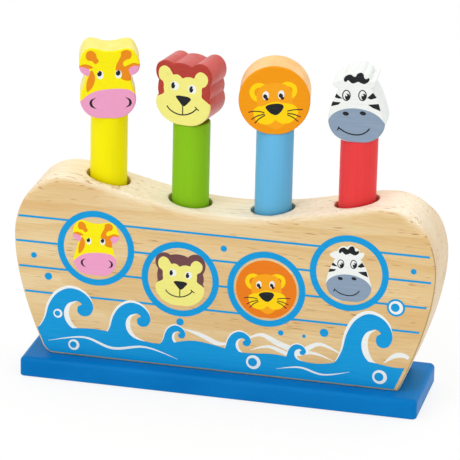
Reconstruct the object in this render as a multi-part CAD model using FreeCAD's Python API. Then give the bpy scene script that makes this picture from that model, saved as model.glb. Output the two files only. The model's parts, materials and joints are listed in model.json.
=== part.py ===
import FreeCAD, Part
import math
import os

os.makedirs("parts", exist_ok=True)

# A wooden pop-up toy. A boat-shaped hull stands on a painted board and holds four round
# pegs, each with an animal head. A peg that is pressed down is pushed up again by a spring.
# The origin is under the middle of the board, +X runs along the toy and -Y is its front.
# Lengths are millimetres and angles are degrees.

# Base board
board_length = 241.0
board_depth = 63.0
board_thickness = 12.0
board_corner_radius = 3.0
board_top_round = 3.0
board_bottom_round = 1.0

# Hull, a plank sawn to the outline of a boat
hull_thickness = 40.0
hull_top_round = 5.5
hull_edge_ease = 0.8
hull_foot_bevel = 0.8
hull_half_length = 127.0
hull_widest_height = 86.0
crest_half_spacing = 96.5
crest_height = 124.0
sheer_drop = 14.6
foot_half_length = 107.2
foot_lean = 23.0
bow_heel_radius = 9.0
bow_heel_turn = 55.0
stern_heel_radius = 3.0
stern_heel_turn = 40.0
saw_run_out = 6.0
# The router that rounds the top edge leaves a shoulder where this share of its curve is done
router_exit = 0.3

# How far each end of a curve of the hull's outline runs straight on before it bends
side_pull_top = 29.0
side_pull_foot = 7.0
shoulder_pull_side = 17.0
shoulder_pull_crest = 21.0
sheer_pull_crest = 22.0
sheer_pull_dip = 46.0

# Pegs
animals = ("giraffe", "monkey", "lion", "zebra")
peg_pitch = 50.0
peg_diameter = 22.0
peg_top_height = 160.5
peg_rim_round = 1.0

# Bores in the hull: a wide lower one for the collar, and a narrower one that stops it
peg_play = 4.0
collar_play = 1.0
collar_overlap = 3.0
shoulder_height = 70.3
bore_rim_round = 0.7

# Collar that holds a peg in its bore, and lets it turn
running_gap = 0.3
collar_thickness = 4.0
boss_height = 3.0
collar_screw_diameter = 3.5
collar_screw_head_diameter = 7.5
collar_screw_head_height = 2.4
collar_screw_bite = 16.0
boss_screw_room = 1.2

# Compression spring under each collar
spring_mean_diameter = 18.0
spring_wire_diameter = 0.8
spring_active_turns = 6
spring_end_turns = 1
spring_end_turn_rise = 0.96
spring_facets_per_turn = 16
spring_wire_facets = 6
spring_pocket_depth = 2.0

# Heads, sawn from board, rounded along their edges and pinned to the pegs
head_thickness = 23.0
head_edge_round = 1.0
head_seat_depth = 0.5
head_turn = {"giraffe": 16.0, "monkey": -10.0, "lion": 10.5, "zebra": 4.0}
lion_head_radius = 20.7
lion_head_offset = -0.7

# Outlines of the sawn heads, as points across from the peg's axis and up from the head's lowest
# point. Each row is one smooth stretch of the saw cut, and the stretches meet at corners.
giraffe_outline = [
    # jaw
    [(-13.8, 26.4), (-15.5, 19.5), (-17.3, 10.5), (-12.3, 2.2), (-0.9, 0.0),
     (10.0, 2.3), (15.2, 10.5), (13.4, 19.5), (11.8, 26.7)],
    # ears and horns
    [(11.8, 26.7), (16.0, 28.9), (17.2, 32.6), (15.6, 38.0), (12.9, 42.1), (8.6, 42.9),
     (4.0, 41.7), (-0.2, 41.2), (-4.4, 41.4), (-9.0, 42.7), (-13.7, 42.3), (-16.7, 38.6),
     (-18.1, 32.6), (-17.3, 28.9), (-13.8, 26.4)],
]
monkey_outline = [
    # jowls
    [(-16.7, 17.3), (-18.3, 12.5), (-15.6, 6.1), (-8.9, 1.4), (-1.4, 0.0), (6.8, 1.1),
     (13.5, 5.8), (16.1, 11.9), (15.1, 17.8)],
    # right cheek, right ear, fringe, left ear and left cheek
    [(15.1, 17.8), (15.7, 21.2), (14.9, 25.1)],
    [(14.9, 25.1), (16.7, 30.1), (15.4, 35.6), (11.4, 38.8), (7.4, 38.5), (4.3, 36.2)],
    [(4.3, 36.2), (0.9, 37.4), (-3.2, 37.8), (-8.0, 36.9)],
    [(-8.0, 36.9), (-13.1, 38.2), (-17.3, 35.9), (-18.6, 31.4), (-16.6, 26.2)],
    [(-16.6, 26.2), (-17.2, 21.8), (-16.7, 17.3)],
]
zebra_outline = [
    # jaw
    [(-11.4, 32.0), (-14.2, 26.0), (-16.6, 18.5), (-17.1, 11.0), (-12.4, 3.0), (-0.7, 0.0),
     (10.9, 3.1), (15.4, 10.6), (13.8, 19.0), (11.1, 26.5), (7.1, 33.2)],
    # side and top of the right ear
    [(7.1, 33.2), (8.9, 35.4), (9.5, 38.6)],
    [(9.5, 38.6), (7.7, 38.3), (6.1, 38.2)],
    # the three tufts of the mane, from right to left
    [(6.1, 38.2), (5.1, 40.7), (2.7, 41.5)],
    [(2.7, 41.5), (0.1, 43.2), (-3.0, 41.5)],
    [(-3.0, 41.5), (-6.5, 41.9), (-9.9, 37.9)],
    # top and side of the left ear
    [(-9.9, 37.9), (-13.0, 36.9), (-15.6, 34.8)],
    [(-15.6, 34.8), (-13.8, 32.7), (-11.4, 32.0)],
]

# Fluted pins, in the heads and between the hull and the board
pin_diameter = 8.0
pin_flutes = 8
pin_flute_depth = 0.4
pin_flute_width = 1.2
pin_chamfer = 0.8
pin_end_room = 1.0
head_pin_half_length = 11.0
hull_pin_positions = (-50.0, 50.0)
hull_pin_bite_board = 8.0
hull_pin_bite_hull = 14.0

# Countersunk screws that hold the hull on the board
board_screw_positions = (-98.0, 0.0, 98.0)
board_screw_diameter = 4.0
board_screw_head_diameter = 8.0
board_screw_head_edge = 0.4
board_screw_sunk = 0.5
board_screw_length = 35.0
board_screw_point = 3.0

# Cross-shaped driver recess in the screw heads
cross_recess_width = 0.9
cross_recess_span = 4.4
cross_recess_depth = 1.6

# Values worked out from the sizes above
hull_foot = board_thickness
peg_positions = {name: (i - (len(animals) - 1) / 2) * peg_pitch for i, name in enumerate(animals)}
upper_bore_diameter = peg_diameter + peg_play
collar_diameter = upper_bore_diameter + collar_overlap
lower_bore_diameter = collar_diameter + collar_play
peg_foot_height = shoulder_height
collar_top = shoulder_height - running_gap
collar_bottom = collar_top - collar_thickness
boss_bottom = collar_bottom - boss_height
pocket_floor = board_thickness - spring_pocket_depth
spring_top = collar_bottom - running_gap
spring_outer_diameter = spring_mean_diameter + spring_wire_diameter
boss_diameter = spring_mean_diameter - spring_wire_diameter - 2 * running_gap
pocket_diameter = spring_outer_diameter + 2 * running_gap
board_screw_head_height = (board_screw_head_diameter - board_screw_diameter) / 2
dip_height = crest_height - sheer_drop

# A cut runs this far past the surface that it opens
overcut = 1.0
# Places closer together than this are the same place
same_place = 1e-6


def at(across, up):
    """A point in the upright plane that the outlines are drawn in."""
    return FreeCAD.Vector(across, 0, up)


def cylinder(diameter, low, high, x=0.0):
    """An upright cylinder between two heights."""
    return Part.makeCylinder(diameter / 2, high - low, FreeCAD.Vector(x, 0, low))


def block(length, depth, low, high):
    """A box round the toy's upright axis, between two heights."""
    return Part.makeBox(length, depth, high - low, FreeCAD.Vector(-length / 2, -depth / 2, low))


def bezier(*points):
    """A curve that starts and ends at the outer points, and leans towards the inner ones."""
    curve = Part.BezierCurve()
    curve.setPoles([at(*point) for point in points])
    return curve


def smooth(points):
    """A smooth curve through a few points."""
    curve = Part.BSplineCurve()
    curve.interpolate([at(*point) for point in points])
    return curve.toShape()


def line(start, end):
    return Part.LineSegment(at(*start), at(*end)).toShape()


def slab(edges, thickness):
    """A plank of an outline, with its thickness centred on the toy's middle plane."""
    face = Part.Face(Part.Wire(Part.__sortEdges__(edges)))
    face.translate(FreeCAD.Vector(0, -thickness / 2, 0))
    return face.extrude(FreeCAD.Vector(0, thickness, 0))


def face_edges(solid, thickness):
    """The edges round the front and back faces of a slab."""
    def lies_on_a_face(edge):
        box = edge.BoundBox
        flat = box.YLength < same_place
        return flat and abs(abs(box.YMin) - thickness / 2) < same_place
    return [edge for edge in solid.Edges if lies_on_a_face(edge)]


def split(curve, share):
    """The edges of a curve before and after a share of it."""
    before = curve.copy()
    before.segment(0, share)
    after = curve.copy()
    after.segment(share, 1)
    return before.toShape(), after.toShape()


def hull_side(side, heel_radius, heel_turn):
    """One end of the boat: its routed top edges, its sawn edges down round the heel, and their end."""
    lean = math.radians(foot_lean)
    turn = math.radians(foot_lean + heel_turn)
    heel_drop = heel_radius * (math.sin(turn) - math.sin(lean))
    heel = (foot_half_length + math.tan(lean) * heel_drop, hull_foot + heel_drop)
    centre = (heel[0] - heel_radius * math.cos(lean), heel[1] + heel_radius * math.sin(lean))

    def on_heel(angle):
        return centre[0] + heel_radius * math.cos(angle), centre[1] - heel_radius * math.sin(angle)

    foot = on_heel(turn)
    tail = (foot[0] - saw_run_out * math.tan(turn), foot[1] - saw_run_out)
    dip = (0.0, dip_height)
    crest = (crest_half_spacing, crest_height)
    widest = (hull_half_length, hull_widest_height)

    def placed(point):
        return side * point[0], point[1]

    sheer = bezier(placed(dip),
                   placed((sheer_pull_dip, dip_height)),
                   placed((crest[0] - sheer_pull_crest, crest_height)),
                   placed(crest))
    shoulder = bezier(placed(crest),
                      placed((crest[0] + shoulder_pull_crest, crest_height)),
                      placed((widest[0], widest[1] + shoulder_pull_side)),
                      placed(widest))
    heel_pull = (heel[0] + side_pull_foot * math.sin(lean), heel[1] + side_pull_foot * math.cos(lean))
    flank = bezier(placed(widest),
                   placed((widest[0], widest[1] - side_pull_top)),
                   placed(heel_pull),
                   placed(heel))
    rounded_heel = Part.Arc(at(*placed(heel)),
                            at(*placed(on_heel((lean + turn) / 2))),
                            at(*placed(foot))).toShape()
    upper_shoulder, lower_shoulder = split(shoulder, router_exit)
    routed = [sheer.toShape(), upper_shoulder]
    sawn = [lower_shoulder, flank.toShape(), rounded_heel, line(placed(foot), placed(tail))]
    return routed, sawn, placed(tail)


def straight_on(edge, x):
    """A line through the end of an edge, in the edge's direction there, to a place along the toy."""
    end = edge.valueAt(edge.LastParameter)
    heading = edge.tangentAt(edge.LastParameter)
    return Part.makeLine(end, end + heading * ((x - end.x) / heading.x))


def sawn_plank(bow, stern):
    """A plank sawn and eased round the boat's flanks and heels, which still reaches up past its top."""
    bow_top, bow_flank, bow_tail = bow
    stern_top, stern_flank, stern_tail = stern
    keel_line = line(bow_tail, stern_tail)
    roof = [straight_on(bow_top[-1], 0), straight_on(stern_top[-1], 0)]
    plank = slab(bow_flank + stern_flank + roof + [keel_line], hull_thickness)
    keel_height = keel_line.BoundBox.ZMax
    eased = [edge for edge in face_edges(plank, hull_thickness)
             if edge.BoundBox.ZMax > keel_height + same_place]
    return plank.makeFillet(hull_edge_ease, eased)


def routed_top(bow, stern):
    """All that lies under the router, which rounds the boat's top and runs straight off both ends."""
    bottom = hull_foot - 2 * saw_run_out
    way_out = hull_half_length + hull_top_round
    edges = []
    for side, (top, _, _) in ((-1, bow), (1, stern)):
        run_off = straight_on(top[-1], side * way_out)
        end = run_off.valueAt(run_off.LastParameter)
        edges += top + [run_off, line((end.x, end.z), (end.x, bottom))]
    stock = slab(edges + [line((-way_out, bottom), (way_out, bottom))], hull_thickness)
    followed = [edge for edge in face_edges(stock, hull_thickness)
                if edge.BoundBox.XLength > same_place and edge.BoundBox.ZMax > hull_foot]
    return stock.makeFillet(hull_top_round, followed)


def hull():
    """The plank is sawn and eased, its top edge is routed, and it is cut flat at its foot and bored."""
    bow = hull_side(-1, bow_heel_radius, bow_heel_turn)
    stern = hull_side(1, stern_heel_radius, stern_heel_turn)
    body = sawn_plank(bow, stern).common(routed_top(bow, stern))
    waste_low = hull_foot - 2 * saw_run_out
    body = body.cut(block(2 * hull_half_length, 2 * hull_thickness, waste_low, hull_foot))
    for x in peg_positions.values():
        bore = cylinder(upper_bore_diameter, shoulder_height - overcut, crest_height + overcut, x)
        body = body.cut(bore)
    rims = [edge for edge in body.Edges if is_bore_rim(edge)]
    body = body.makeFillet(bore_rim_round, rims)
    for x in peg_positions.values():
        body = body.cut(cylinder(lower_bore_diameter, hull_foot - overcut, shoulder_height, x))
    for x in hull_pin_positions:
        top = hull_foot + hull_pin_bite_hull + pin_end_room
        body = body.cut(cylinder(pin_diameter, hull_foot - overcut, top, x))
    for x in board_screw_positions:
        body = body.cut(plain_board_screw(x))
    for side in (-1, 1):
        body = body.cut(foot_shaving(side))
    return body


def foot_shaving(side):
    """The wood that a plane takes off one long edge of the hull's foot."""
    face = side * hull_thickness / 2
    outside = face + side * overcut
    inside = face - side * (hull_foot_bevel + overcut)
    corners = [(outside, hull_foot + hull_foot_bevel + overcut),
               (inside, hull_foot - overcut),
               (outside, hull_foot - overcut)]
    points = [FreeCAD.Vector(-hull_half_length, *corner) for corner in corners + corners[:1]]
    return Part.Face(Part.makePolygon(points)).extrude(at(2 * hull_half_length, 0))


def is_bore_rim(edge):
    """The upper ends of the peg bores, before the lower bores are drilled."""
    box = edge.BoundBox
    near_top = box.ZMin > shoulder_height + overcut
    on_a_bore = abs(box.YLength - upper_bore_diameter) < bore_rim_round
    return near_top and on_a_bore and box.XLength < upper_bore_diameter + bore_rim_round


def plain_board_screw(x):
    """A countersunk wood screw that is driven up through the board, and the hole that it makes."""
    bottom = board_screw_sunk
    head_radius = board_screw_head_diameter / 2
    shank_radius = board_screw_diameter / 2
    cone_bottom = bottom + board_screw_head_edge
    cone_top = cone_bottom + board_screw_head_height
    tip = bottom + board_screw_length
    profile = [(0, bottom), (head_radius, bottom), (head_radius, cone_bottom),
               (shank_radius, cone_top), (shank_radius, tip - board_screw_point), (0, tip), (0, bottom)]
    face = Part.Face(Part.makePolygon([at(*point) for point in profile]))
    screw = face.revolve(at(0, 0), FreeCAD.Vector(0, 0, 1), 360)
    screw.translate(at(x, 0))
    return screw


def board_screw(x):
    recess = cross_recess(board_screw_sunk)
    recess.translate(at(x, 0))
    return plain_board_screw(x).cut(recess)


def cross_recess(bottom):
    """The cross that a screwdriver turns, cut up into a screw's head."""
    top = bottom + cross_recess_depth
    arm = block(cross_recess_span, cross_recess_width, bottom, top)
    other_arm = block(cross_recess_width, cross_recess_span, bottom, top)
    return arm.fuse(other_arm)


def base_board():
    """The painted board, with a pocket for the foot of each spring."""
    board = block(board_length, board_depth, 0, board_thickness)
    upright = [edge for edge in board.Edges if edge.BoundBox.ZLength > board_thickness / 2]
    board = board.makeFillet(board_corner_radius, upright)
    top = [edge for edge in board.Edges if edge.BoundBox.ZMin > board_thickness - same_place]
    board = board.makeFillet(board_top_round, top)
    bottom = [edge for edge in board.Edges if edge.BoundBox.ZMax < same_place]
    board = board.makeFillet(board_bottom_round, bottom)
    for x in peg_positions.values():
        board = board.cut(cylinder(pocket_diameter, pocket_floor, board_thickness + overcut, x))
    for x in hull_pin_positions:
        floor = board_thickness - hull_pin_bite_board - pin_end_room
        board = board.cut(cylinder(pin_diameter, floor, board_thickness + overcut, x))
    for x in board_screw_positions:
        board = board.cut(plain_board_screw(x))
        board = board.cut(cylinder(board_screw_head_diameter, -overcut, board_screw_sunk, x))
    return board


def fluted_pin(low, high, x=0.0):
    """A beech pin with grooves along it that let the glue and air out."""
    pin = cylinder(pin_diameter, low, high)
    ends = [edge for edge in pin.Edges if edge.BoundBox.ZLength < same_place]
    pin = pin.makeChamfer(pin_chamfer, ends)
    groove = Part.makeBox(pin_flute_depth * 2, pin_flute_width, high - low,
                          FreeCAD.Vector(pin_diameter / 2 - pin_flute_depth, -pin_flute_width / 2, low))
    for i in range(pin_flutes):
        flute = groove.copy()
        flute.rotate(at(0, 0), FreeCAD.Vector(0, 0, 1), i * 360 / pin_flutes)
        pin = pin.cut(flute)
    pin.translate(at(x, 0))
    return pin


def peg():
    """A dowel rod, bored at the top for the head's pin and at the foot for the collar's screw."""
    rod = cylinder(peg_diameter, peg_foot_height, peg_top_height)
    ends = [edge for edge in rod.Edges if edge.BoundBox.ZLength < same_place]
    rod = rod.makeFillet(peg_rim_round, ends)
    pin_floor = peg_top_height - head_pin_half_length - pin_end_room
    rod = rod.cut(cylinder(pin_diameter, pin_floor, peg_top_height + overcut))
    screw_end = peg_foot_height + collar_screw_bite
    return rod.cut(cylinder(collar_screw_diameter, peg_foot_height - overcut, screw_end))


def collar():
    """A disc that rides up against the shoulder in the bore, with a boss that centres the spring."""
    disc = cylinder(collar_diameter, collar_bottom, collar_top)
    boss = cylinder(boss_diameter, boss_bottom, collar_bottom)
    body = disc.fuse(boss).removeSplitter()
    head_room = collar_screw_head_diameter + boss_screw_room
    body = body.cut(cylinder(head_room, boss_bottom - overcut, collar_bottom))
    shank_room = collar_screw_diameter + 2 * running_gap
    return body.cut(cylinder(shank_room, boss_bottom - overcut, collar_top + overcut))


def collar_screw():
    """A pan-head screw up through the collar into the peg, which leaves the collar free to turn."""
    head_top = collar_bottom - running_gap
    head_bottom = head_top - collar_screw_head_height
    head_middle = (head_top + head_bottom) / 2
    head = cylinder(collar_screw_head_diameter, head_bottom, head_top)
    lower_rim = [edge for edge in head.Edges if edge.BoundBox.ZMax < head_middle]
    head = head.makeFillet(collar_screw_head_height / 2, lower_rim)
    shank = cylinder(collar_screw_diameter, head_middle, peg_foot_height + collar_screw_bite)
    return head.fuse(shank).removeSplitter().cut(cross_recess(head_bottom))


def spring():
    """A compression spring with closed ends, as a loft through sections of its wire."""
    wire_radius = spring_wire_diameter / 2
    turns = spring_active_turns + 2 * spring_end_turns
    half_section = wire_radius * math.sin(2 * math.pi / spring_wire_facets)
    low = pocket_floor + half_section
    high = spring_top - half_section
    end_rise = 2 * spring_end_turns * spring_end_turn_rise
    active_rise = (high - low - end_rise) / spring_active_turns

    def height(turn):
        lower = min(turn, spring_end_turns)
        upper = max(turn - spring_end_turns - spring_active_turns, 0)
        return low + (lower + upper) * spring_end_turn_rise + (turn - lower - upper) * active_rise

    sections = []
    for step in range(turns * spring_facets_per_turn + 1):
        turn = step / spring_facets_per_turn
        sections.append(wire_section(2 * math.pi * turn, height(turn), wire_radius))
    return Part.makeLoft(sections, True, True)


def wire_section(angle, height, radius):
    """The outline of the spring's wire where it passes one angle round the axis."""
    points = []
    for corner in range(spring_wire_facets + 1):
        around = 2 * math.pi * corner / spring_wire_facets
        reach = spring_mean_diameter / 2 + radius * math.cos(around)
        points.append(FreeCAD.Vector(reach * math.cos(angle),
                                     reach * math.sin(angle),
                                     height + radius * math.sin(around)))
    return Part.makePolygon(points)


def head_edges(animal):
    """The outline of a head, facing -Y, with its lowest point at height zero."""
    if animal == "lion":
        centre = at(lion_head_offset, lion_head_radius)
        return [Part.Circle(centre, FreeCAD.Vector(0, 1, 0), lion_head_radius).toShape()]
    outlines = {"giraffe": giraffe_outline, "monkey": monkey_outline, "zebra": zebra_outline}
    return [smooth(stretch) for stretch in outlines[animal]]


def head(animal):
    """A head sawn from board, sanded flat where it sits on the peg, with a bore for its pin."""
    blank = slab(head_edges(animal), head_thickness)
    body = blank.makeFillet(head_edge_round, face_edges(blank, head_thickness))
    body.translate(at(0, peg_top_height - head_seat_depth))
    body.rotate(at(0, 0), FreeCAD.Vector(0, 0, 1), head_turn[animal])
    sanded_low = peg_top_height - 2 * head_seat_depth
    body = body.cut(block(2 * head_thickness, 2 * head_thickness, sanded_low, peg_top_height))
    pin_ceiling = peg_top_height + head_pin_half_length + pin_end_room
    return body.cut(cylinder(pin_diameter, peg_top_height - overcut, pin_ceiling))


def save(name, shape, x=0.0):
    placed = shape.copy()
    placed.translate(at(x, 0))
    placed.exportStep(f"parts/{name}.step")
    state = "valid" if placed.isValid() else "NOT VALID"
    print(name, state, len(placed.Solids), round(placed.Volume, 1))


def main():
    save("base_board", base_board())
    save("hull", hull())
    save("base_screws", Part.makeCompound([board_screw(x) for x in board_screw_positions]))
    pin_low = board_thickness - hull_pin_bite_board
    pin_high = board_thickness + hull_pin_bite_hull
    pins = [fluted_pin(pin_low, pin_high, x) for x in hull_pin_positions]
    save("locating_pins", Part.makeCompound(pins))
    head_pin_low = peg_top_height - head_pin_half_length
    head_pin_high = peg_top_height + head_pin_half_length
    for animal, x in peg_positions.items():
        save(f"{animal}_head", head(animal), x)
        save(f"{animal}_head_pin", fluted_pin(head_pin_low, head_pin_high), x)
        save(f"{animal}_peg", peg(), x)
        save(f"{animal}_collar", collar(), x)
        save(f"{animal}_collar_screw", collar_screw(), x)
        save(f"{animal}_spring", spring(), x)


main()
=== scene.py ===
"""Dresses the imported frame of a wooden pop-up toy: pine, paint, screen-printed ink, springs and a studio.

Lengths in the prints are millimetres, and everything that Blender gets is metres.
The animals stand in a row: giraffe, monkey, lion and zebra, from -X to +X. The toy faces -Y.
"""

import collections
import json
import math

import bmesh
import bpy
import numpy
from mathutils import Matrix, Vector
from mathutils.bvhtree import BVHTree
from mathutils.geometry import delaunay_2d_cdt

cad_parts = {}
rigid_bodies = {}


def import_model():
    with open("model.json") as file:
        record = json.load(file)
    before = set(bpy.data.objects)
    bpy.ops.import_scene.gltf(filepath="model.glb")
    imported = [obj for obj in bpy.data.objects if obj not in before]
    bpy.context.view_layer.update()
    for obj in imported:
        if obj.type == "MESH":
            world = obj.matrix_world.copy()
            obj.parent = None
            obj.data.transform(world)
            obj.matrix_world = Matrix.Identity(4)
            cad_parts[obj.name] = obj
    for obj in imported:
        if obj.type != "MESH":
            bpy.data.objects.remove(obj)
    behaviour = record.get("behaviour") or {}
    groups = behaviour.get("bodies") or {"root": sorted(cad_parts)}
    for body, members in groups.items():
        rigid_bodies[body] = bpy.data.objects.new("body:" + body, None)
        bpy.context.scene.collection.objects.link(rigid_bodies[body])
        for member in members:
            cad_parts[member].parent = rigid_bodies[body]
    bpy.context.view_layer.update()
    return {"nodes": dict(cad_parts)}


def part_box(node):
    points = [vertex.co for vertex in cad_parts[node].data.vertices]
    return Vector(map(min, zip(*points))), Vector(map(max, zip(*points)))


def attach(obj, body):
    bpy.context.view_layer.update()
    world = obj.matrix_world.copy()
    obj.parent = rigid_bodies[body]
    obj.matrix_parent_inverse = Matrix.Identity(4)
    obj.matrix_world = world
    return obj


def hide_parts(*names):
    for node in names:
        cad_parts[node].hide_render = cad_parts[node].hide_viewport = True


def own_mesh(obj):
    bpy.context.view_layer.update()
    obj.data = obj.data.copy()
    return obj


MM = 0.001
ANIMALS = ("giraffe", "monkey", "lion", "zebra")

# ---- sizes

# Each head is turned on its peg by this many degrees, from facing -Y towards +X.
HEAD_TURN = {"giraffe": 16.0, "monkey": -10.0, "lion": 10.5, "zebra": 4.0}
# A head's lowest point would be this far below its seat if the seat weren't sawn flat.
HEAD_SEAT_DEPTH = 0.5

# An ink film, sunk a little so that it has no gap under it.
INK_THICKNESS = 0.09
INK_SUNK = 0.04
# A head's print wraps round its eased edge: its outlines are cut this far behind the front.
HEAD_PRINT_DEPTHS = (0.85, 0.5, 0.25, 0.1, 0.01)
# The hull's print stops on its flat front, where the edge starts to round.
HULL_PRINT_DEPTH = 0.1
HULL_PRINT_MARGIN = 0.5
# A film's points are dropped on the surface from this far in front of it.
DROP_HEIGHT = 100.0
# An outline that is cut from the frame loses points that are closer together than this.
LEAST_STEP = 0.3
# Corners of a mesh that are closer together than this are welded before it is cut.
WELD_DISTANCE = 0.001
# Points of a print that are closer together than this become one.
PRINT_WELD_DISTANCE = 0.002
# A pointed stroke keeps this share of its width at its ends.
POINTED_END = 0.12
# How wide the pen strokes in the faces are.
WHISKER_WIDTH = 0.65
CREASE_WIDTH = 0.7
SMILE_WIDTH = 0.8
NOSTRIL_WIDTH = 1.6
PUPIL_WIDTH = 2.5
EAR_WIDTH = 2.8
# A patch that is clipped by an outline below it reaches this far down.
WELL_BELOW = 60.0

# Springs: the wire and the turns are the frame's, and the steps and sides make them smooth.
WIRE_DIAMETER = 0.8
ACTIVE_TURNS = 6
END_TURNS = 1
END_TURN_RISE = 0.96
STEPS_PER_TURN = 28
WIRE_SIDES = 10

# Hull print. Each plank line starts outside the bow's edge, where it is clipped, and ends inside the
# stern's edge. That edge is looked for a little above and below the line.
PLANK_LINES = (97.7, 82.0, 66.2, 50.4)
PLANK_LINE_WIDTH = 1.3
PLANK_LINE_OVERRUN = 1.0
PLANK_LINE_END_GAP = 2.3
PLANK_EDGE_REACH = 3.0
# What lies past this line belongs to the stern, where the picture leaves a bare strip along the edge.
STERN_SIDE = 60.0
STERN_STRIP = 2.0
# The ground coat's film shows its edge as a thin dark line in these places: the stern and the foot.
PAST_STERN = 150.0
STERN_FILM_TOP = 104.0
STERN_FILM_EDGE = [(STERN_SIDE, 0.0), (PAST_STERN, 0.0), (PAST_STERN, STERN_FILM_TOP),
                   (STERN_SIDE, STERN_FILM_TOP)]
FOOT_FILM_START = -96.0
FOOT_FILM_TOP = 20.0
FOOT_FILM_EDGE = [(FOOT_FILM_START, 0.0), (PAST_STERN, 0.0), (PAST_STERN, FOOT_FILM_TOP),
                  (FOOT_FILM_START, FOOT_FILM_TOP)]
# Each porthole's middle, the ring round it, and how large its animal is against the head.
PORTHOLES = {"giraffe": (-77.0, 81.8), "monkey": (-25.4, 67.9), "lion": (26.6, 67.4), "zebra": (75.6, 82.8)}
PORTHOLE_RADIUS = 23.5
PORTHOLE_BAND = 3.9
PORTHOLE_FACE_SCALE = {"giraffe": 0.80, "monkey": 0.86, "lion": 0.88, "zebra": 0.82}

# Camera: the lens and the sensor in mm, the angles in degrees, and the rest in metres.
CAMERA_LENS = 269.76
CAMERA_SENSOR = 36.0
CAMERA_AZIMUTH = 12.837
CAMERA_ELEVATION = 20.180
CAMERA_ROLL = 1.391
CAMERA_DISTANCE = 2.0333
CAMERA_REACH = 20.0
CAMERA_TARGET = (-0.0006, 0.0, 0.09446)

# Studio: places and sizes in metres. The floor lies just under the board, so that the two don't mingle.
FLOOR_HALF = 3.0
FLOOR_GAP = 0.0002
# How much of the floor that is seen is plain white: the rest takes the toy's shadow.
FLOOR_WHITE = 0.8
WORLD_STRENGTH = 0.74
LAMPS_AIM = (0, 0, 0.1)
# Each softbox: its place, its side, and its power in watts.
SOFTBOXES = {
    "key_softbox": ((-0.9, -1.1, 1.6), 1.2, 11.0),
    "fill_softbox": ((1.3, -0.9, 0.8), 1.4, 2.5),
    "top_softbox": ((0.1, 0.5, 1.7), 1.2, 8.4),
}

# Most of a noise's values lie between these two, so a range that follows a noise starts from them.
NOISE_LOW = 0.3
NOISE_HIGH = 0.7
NOISE_SPAN = {"From Min": NOISE_LOW, "From Max": NOISE_HIGH}

Place = collections.namedtuple("Place", "origin across outward")
Patch = collections.namedtuple("Patch", "ink outline within", defaults=(None,))


# ---- nodes and colours

def linear(hex_colour, alpha=1.0):
    """An sRGB hex colour as linear RGBA."""
    channels = [int(hex_colour[i:i + 2], 16) / 255 for i in (0, 2, 4)]
    return [c / 12.92 if c <= 0.04045 else ((c + 0.055) / 1.055) ** 2.4 for c in channels] + [alpha]


def features(*sizes):
    """The mapping scale that gives a pattern's features these sizes in mm along X, Y and Z."""
    return [1 / (size * MM) for size in sizes]


def fill_inputs(tree, node, inputs):
    """Gives a node's inputs their values, or links them to a socket or to another node's first output."""
    for name, value in inputs.items():
        if isinstance(value, bpy.types.Node):
            value = value.outputs[0]
        if isinstance(value, bpy.types.NodeSocket):
            tree.links.new(value, node.inputs[name])
        else:
            node.inputs[name].default_value = value


def add_node(tree, kind, inputs, stops=(), **settings):
    """Adds a shader node with its settings and inputs, and for a ramp its stops as places and colours."""
    node = tree.nodes.new("ShaderNode" + kind)
    for field, value in settings.items():
        setattr(node, field, value)
    for number, (place, colour) in enumerate(stops):
        elements = node.color_ramp.elements
        stop = elements[number] if number < len(elements) else elements.new(place)
        stop.position = place
        stop.color = linear(colour)
    fill_inputs(tree, node, inputs)
    return node


def new_finish(name):
    """A new material, its nodes, its Principled shader, and the place on the piece in metres."""
    material = bpy.data.materials.new(name)
    material.use_nodes = True
    tree = material.node_tree
    place = add_node(tree, "TexCoord", {}).outputs["Object"]
    return material, tree, tree.nodes["Principled BSDF"], place


# ---- finishes

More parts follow.
